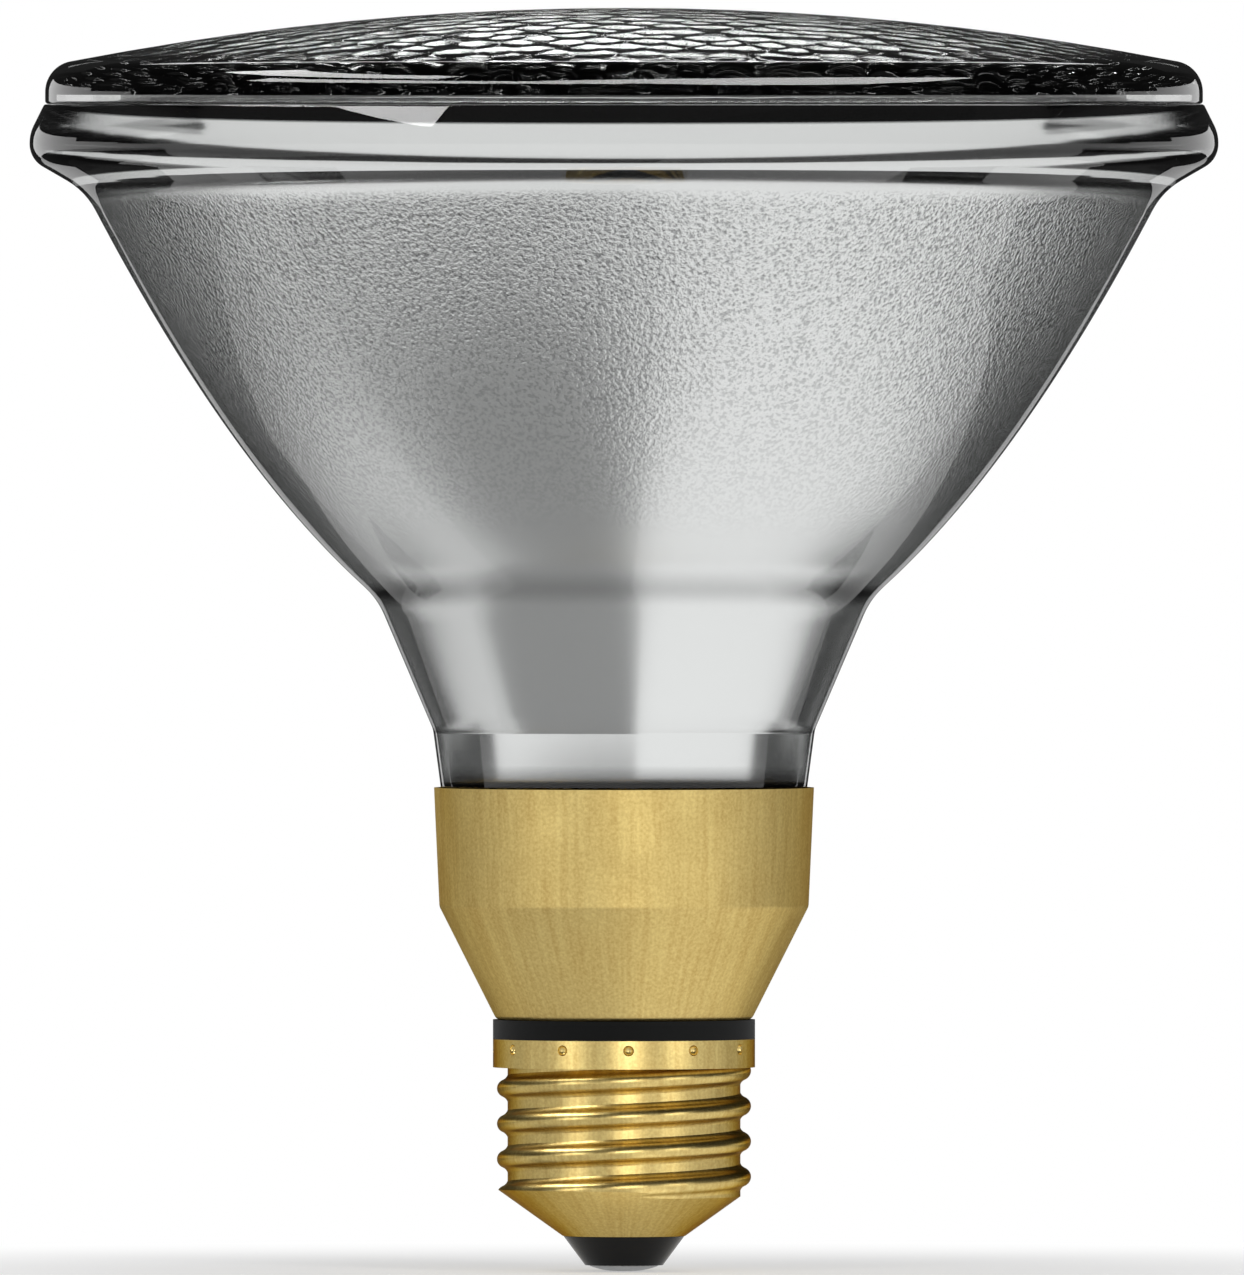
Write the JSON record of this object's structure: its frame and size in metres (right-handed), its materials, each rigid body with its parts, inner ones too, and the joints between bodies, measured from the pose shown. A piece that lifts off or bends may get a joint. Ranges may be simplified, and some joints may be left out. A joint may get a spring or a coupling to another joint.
{
  "type": "par spotlight bulb",
  "caption": "Sealed-beam glass reflector lamp with a stippled lens, halogen capsule and a brass skirted screw base.",
  "frame": {"origin": "on the lamp's axis at the tip of the centre contact", "axes": "+Z along the lamp's axis towards the lens, -Y towards the viewer of the picture"},
  "size_m": [0.122, 0.122, 0.1296],
  "materials": {
    "pressed_glass": "pressed clear borosilicate glass, stippled inside",
    "mirrored_glass": "pressed glass with an aluminium film inside",
    "quartz": "clear drawn quartz",
    "tube_glass": "clear drawn glass tube",
    "brass": "drawn brass, satin",
    "black_moulding": "black phenolic moulding, matt",
    "black_glass": "black base glass, gloss",
    "solder": "solder on a brass eyelet, dull grey",
    "cement": "basing cement, pale and dull",
    "nickel_iron": "nickel-iron, satin",
    "tungsten": "drawn tungsten, dark grey",
    "molybdenum": "drawn molybdenum, satin",
    "copper_wire": "bare copper wire"
  },
  "bodies": {
    "root": {"lens": "pressed_glass", "reflector": "mirrored_glass", "capsule_envelope": "quartz", "exhaust_tube": "tube_glass", "skirt": "brass", "screw_shell": "brass", "insulating_ring": "black_moulding", "bottom_insulator": "black_glass", "centre_contact": "solder", "basing_cement": "cement", "filament": "tungsten", "inner_lead_short": "molybdenum", "inner_lead_long": "molybdenum", "seal_foils": "molybdenum", "capsule_leads": "molybdenum", "lead_post_left": "nickel_iron", "lead_post_right": "nickel_iron", "ferrule_left": "nickel_iron", "ferrule_right": "nickel_iron", "contact_wire": "copper_wire", "shell_wire": "copper_wire"}
  },
  "joints": []
}
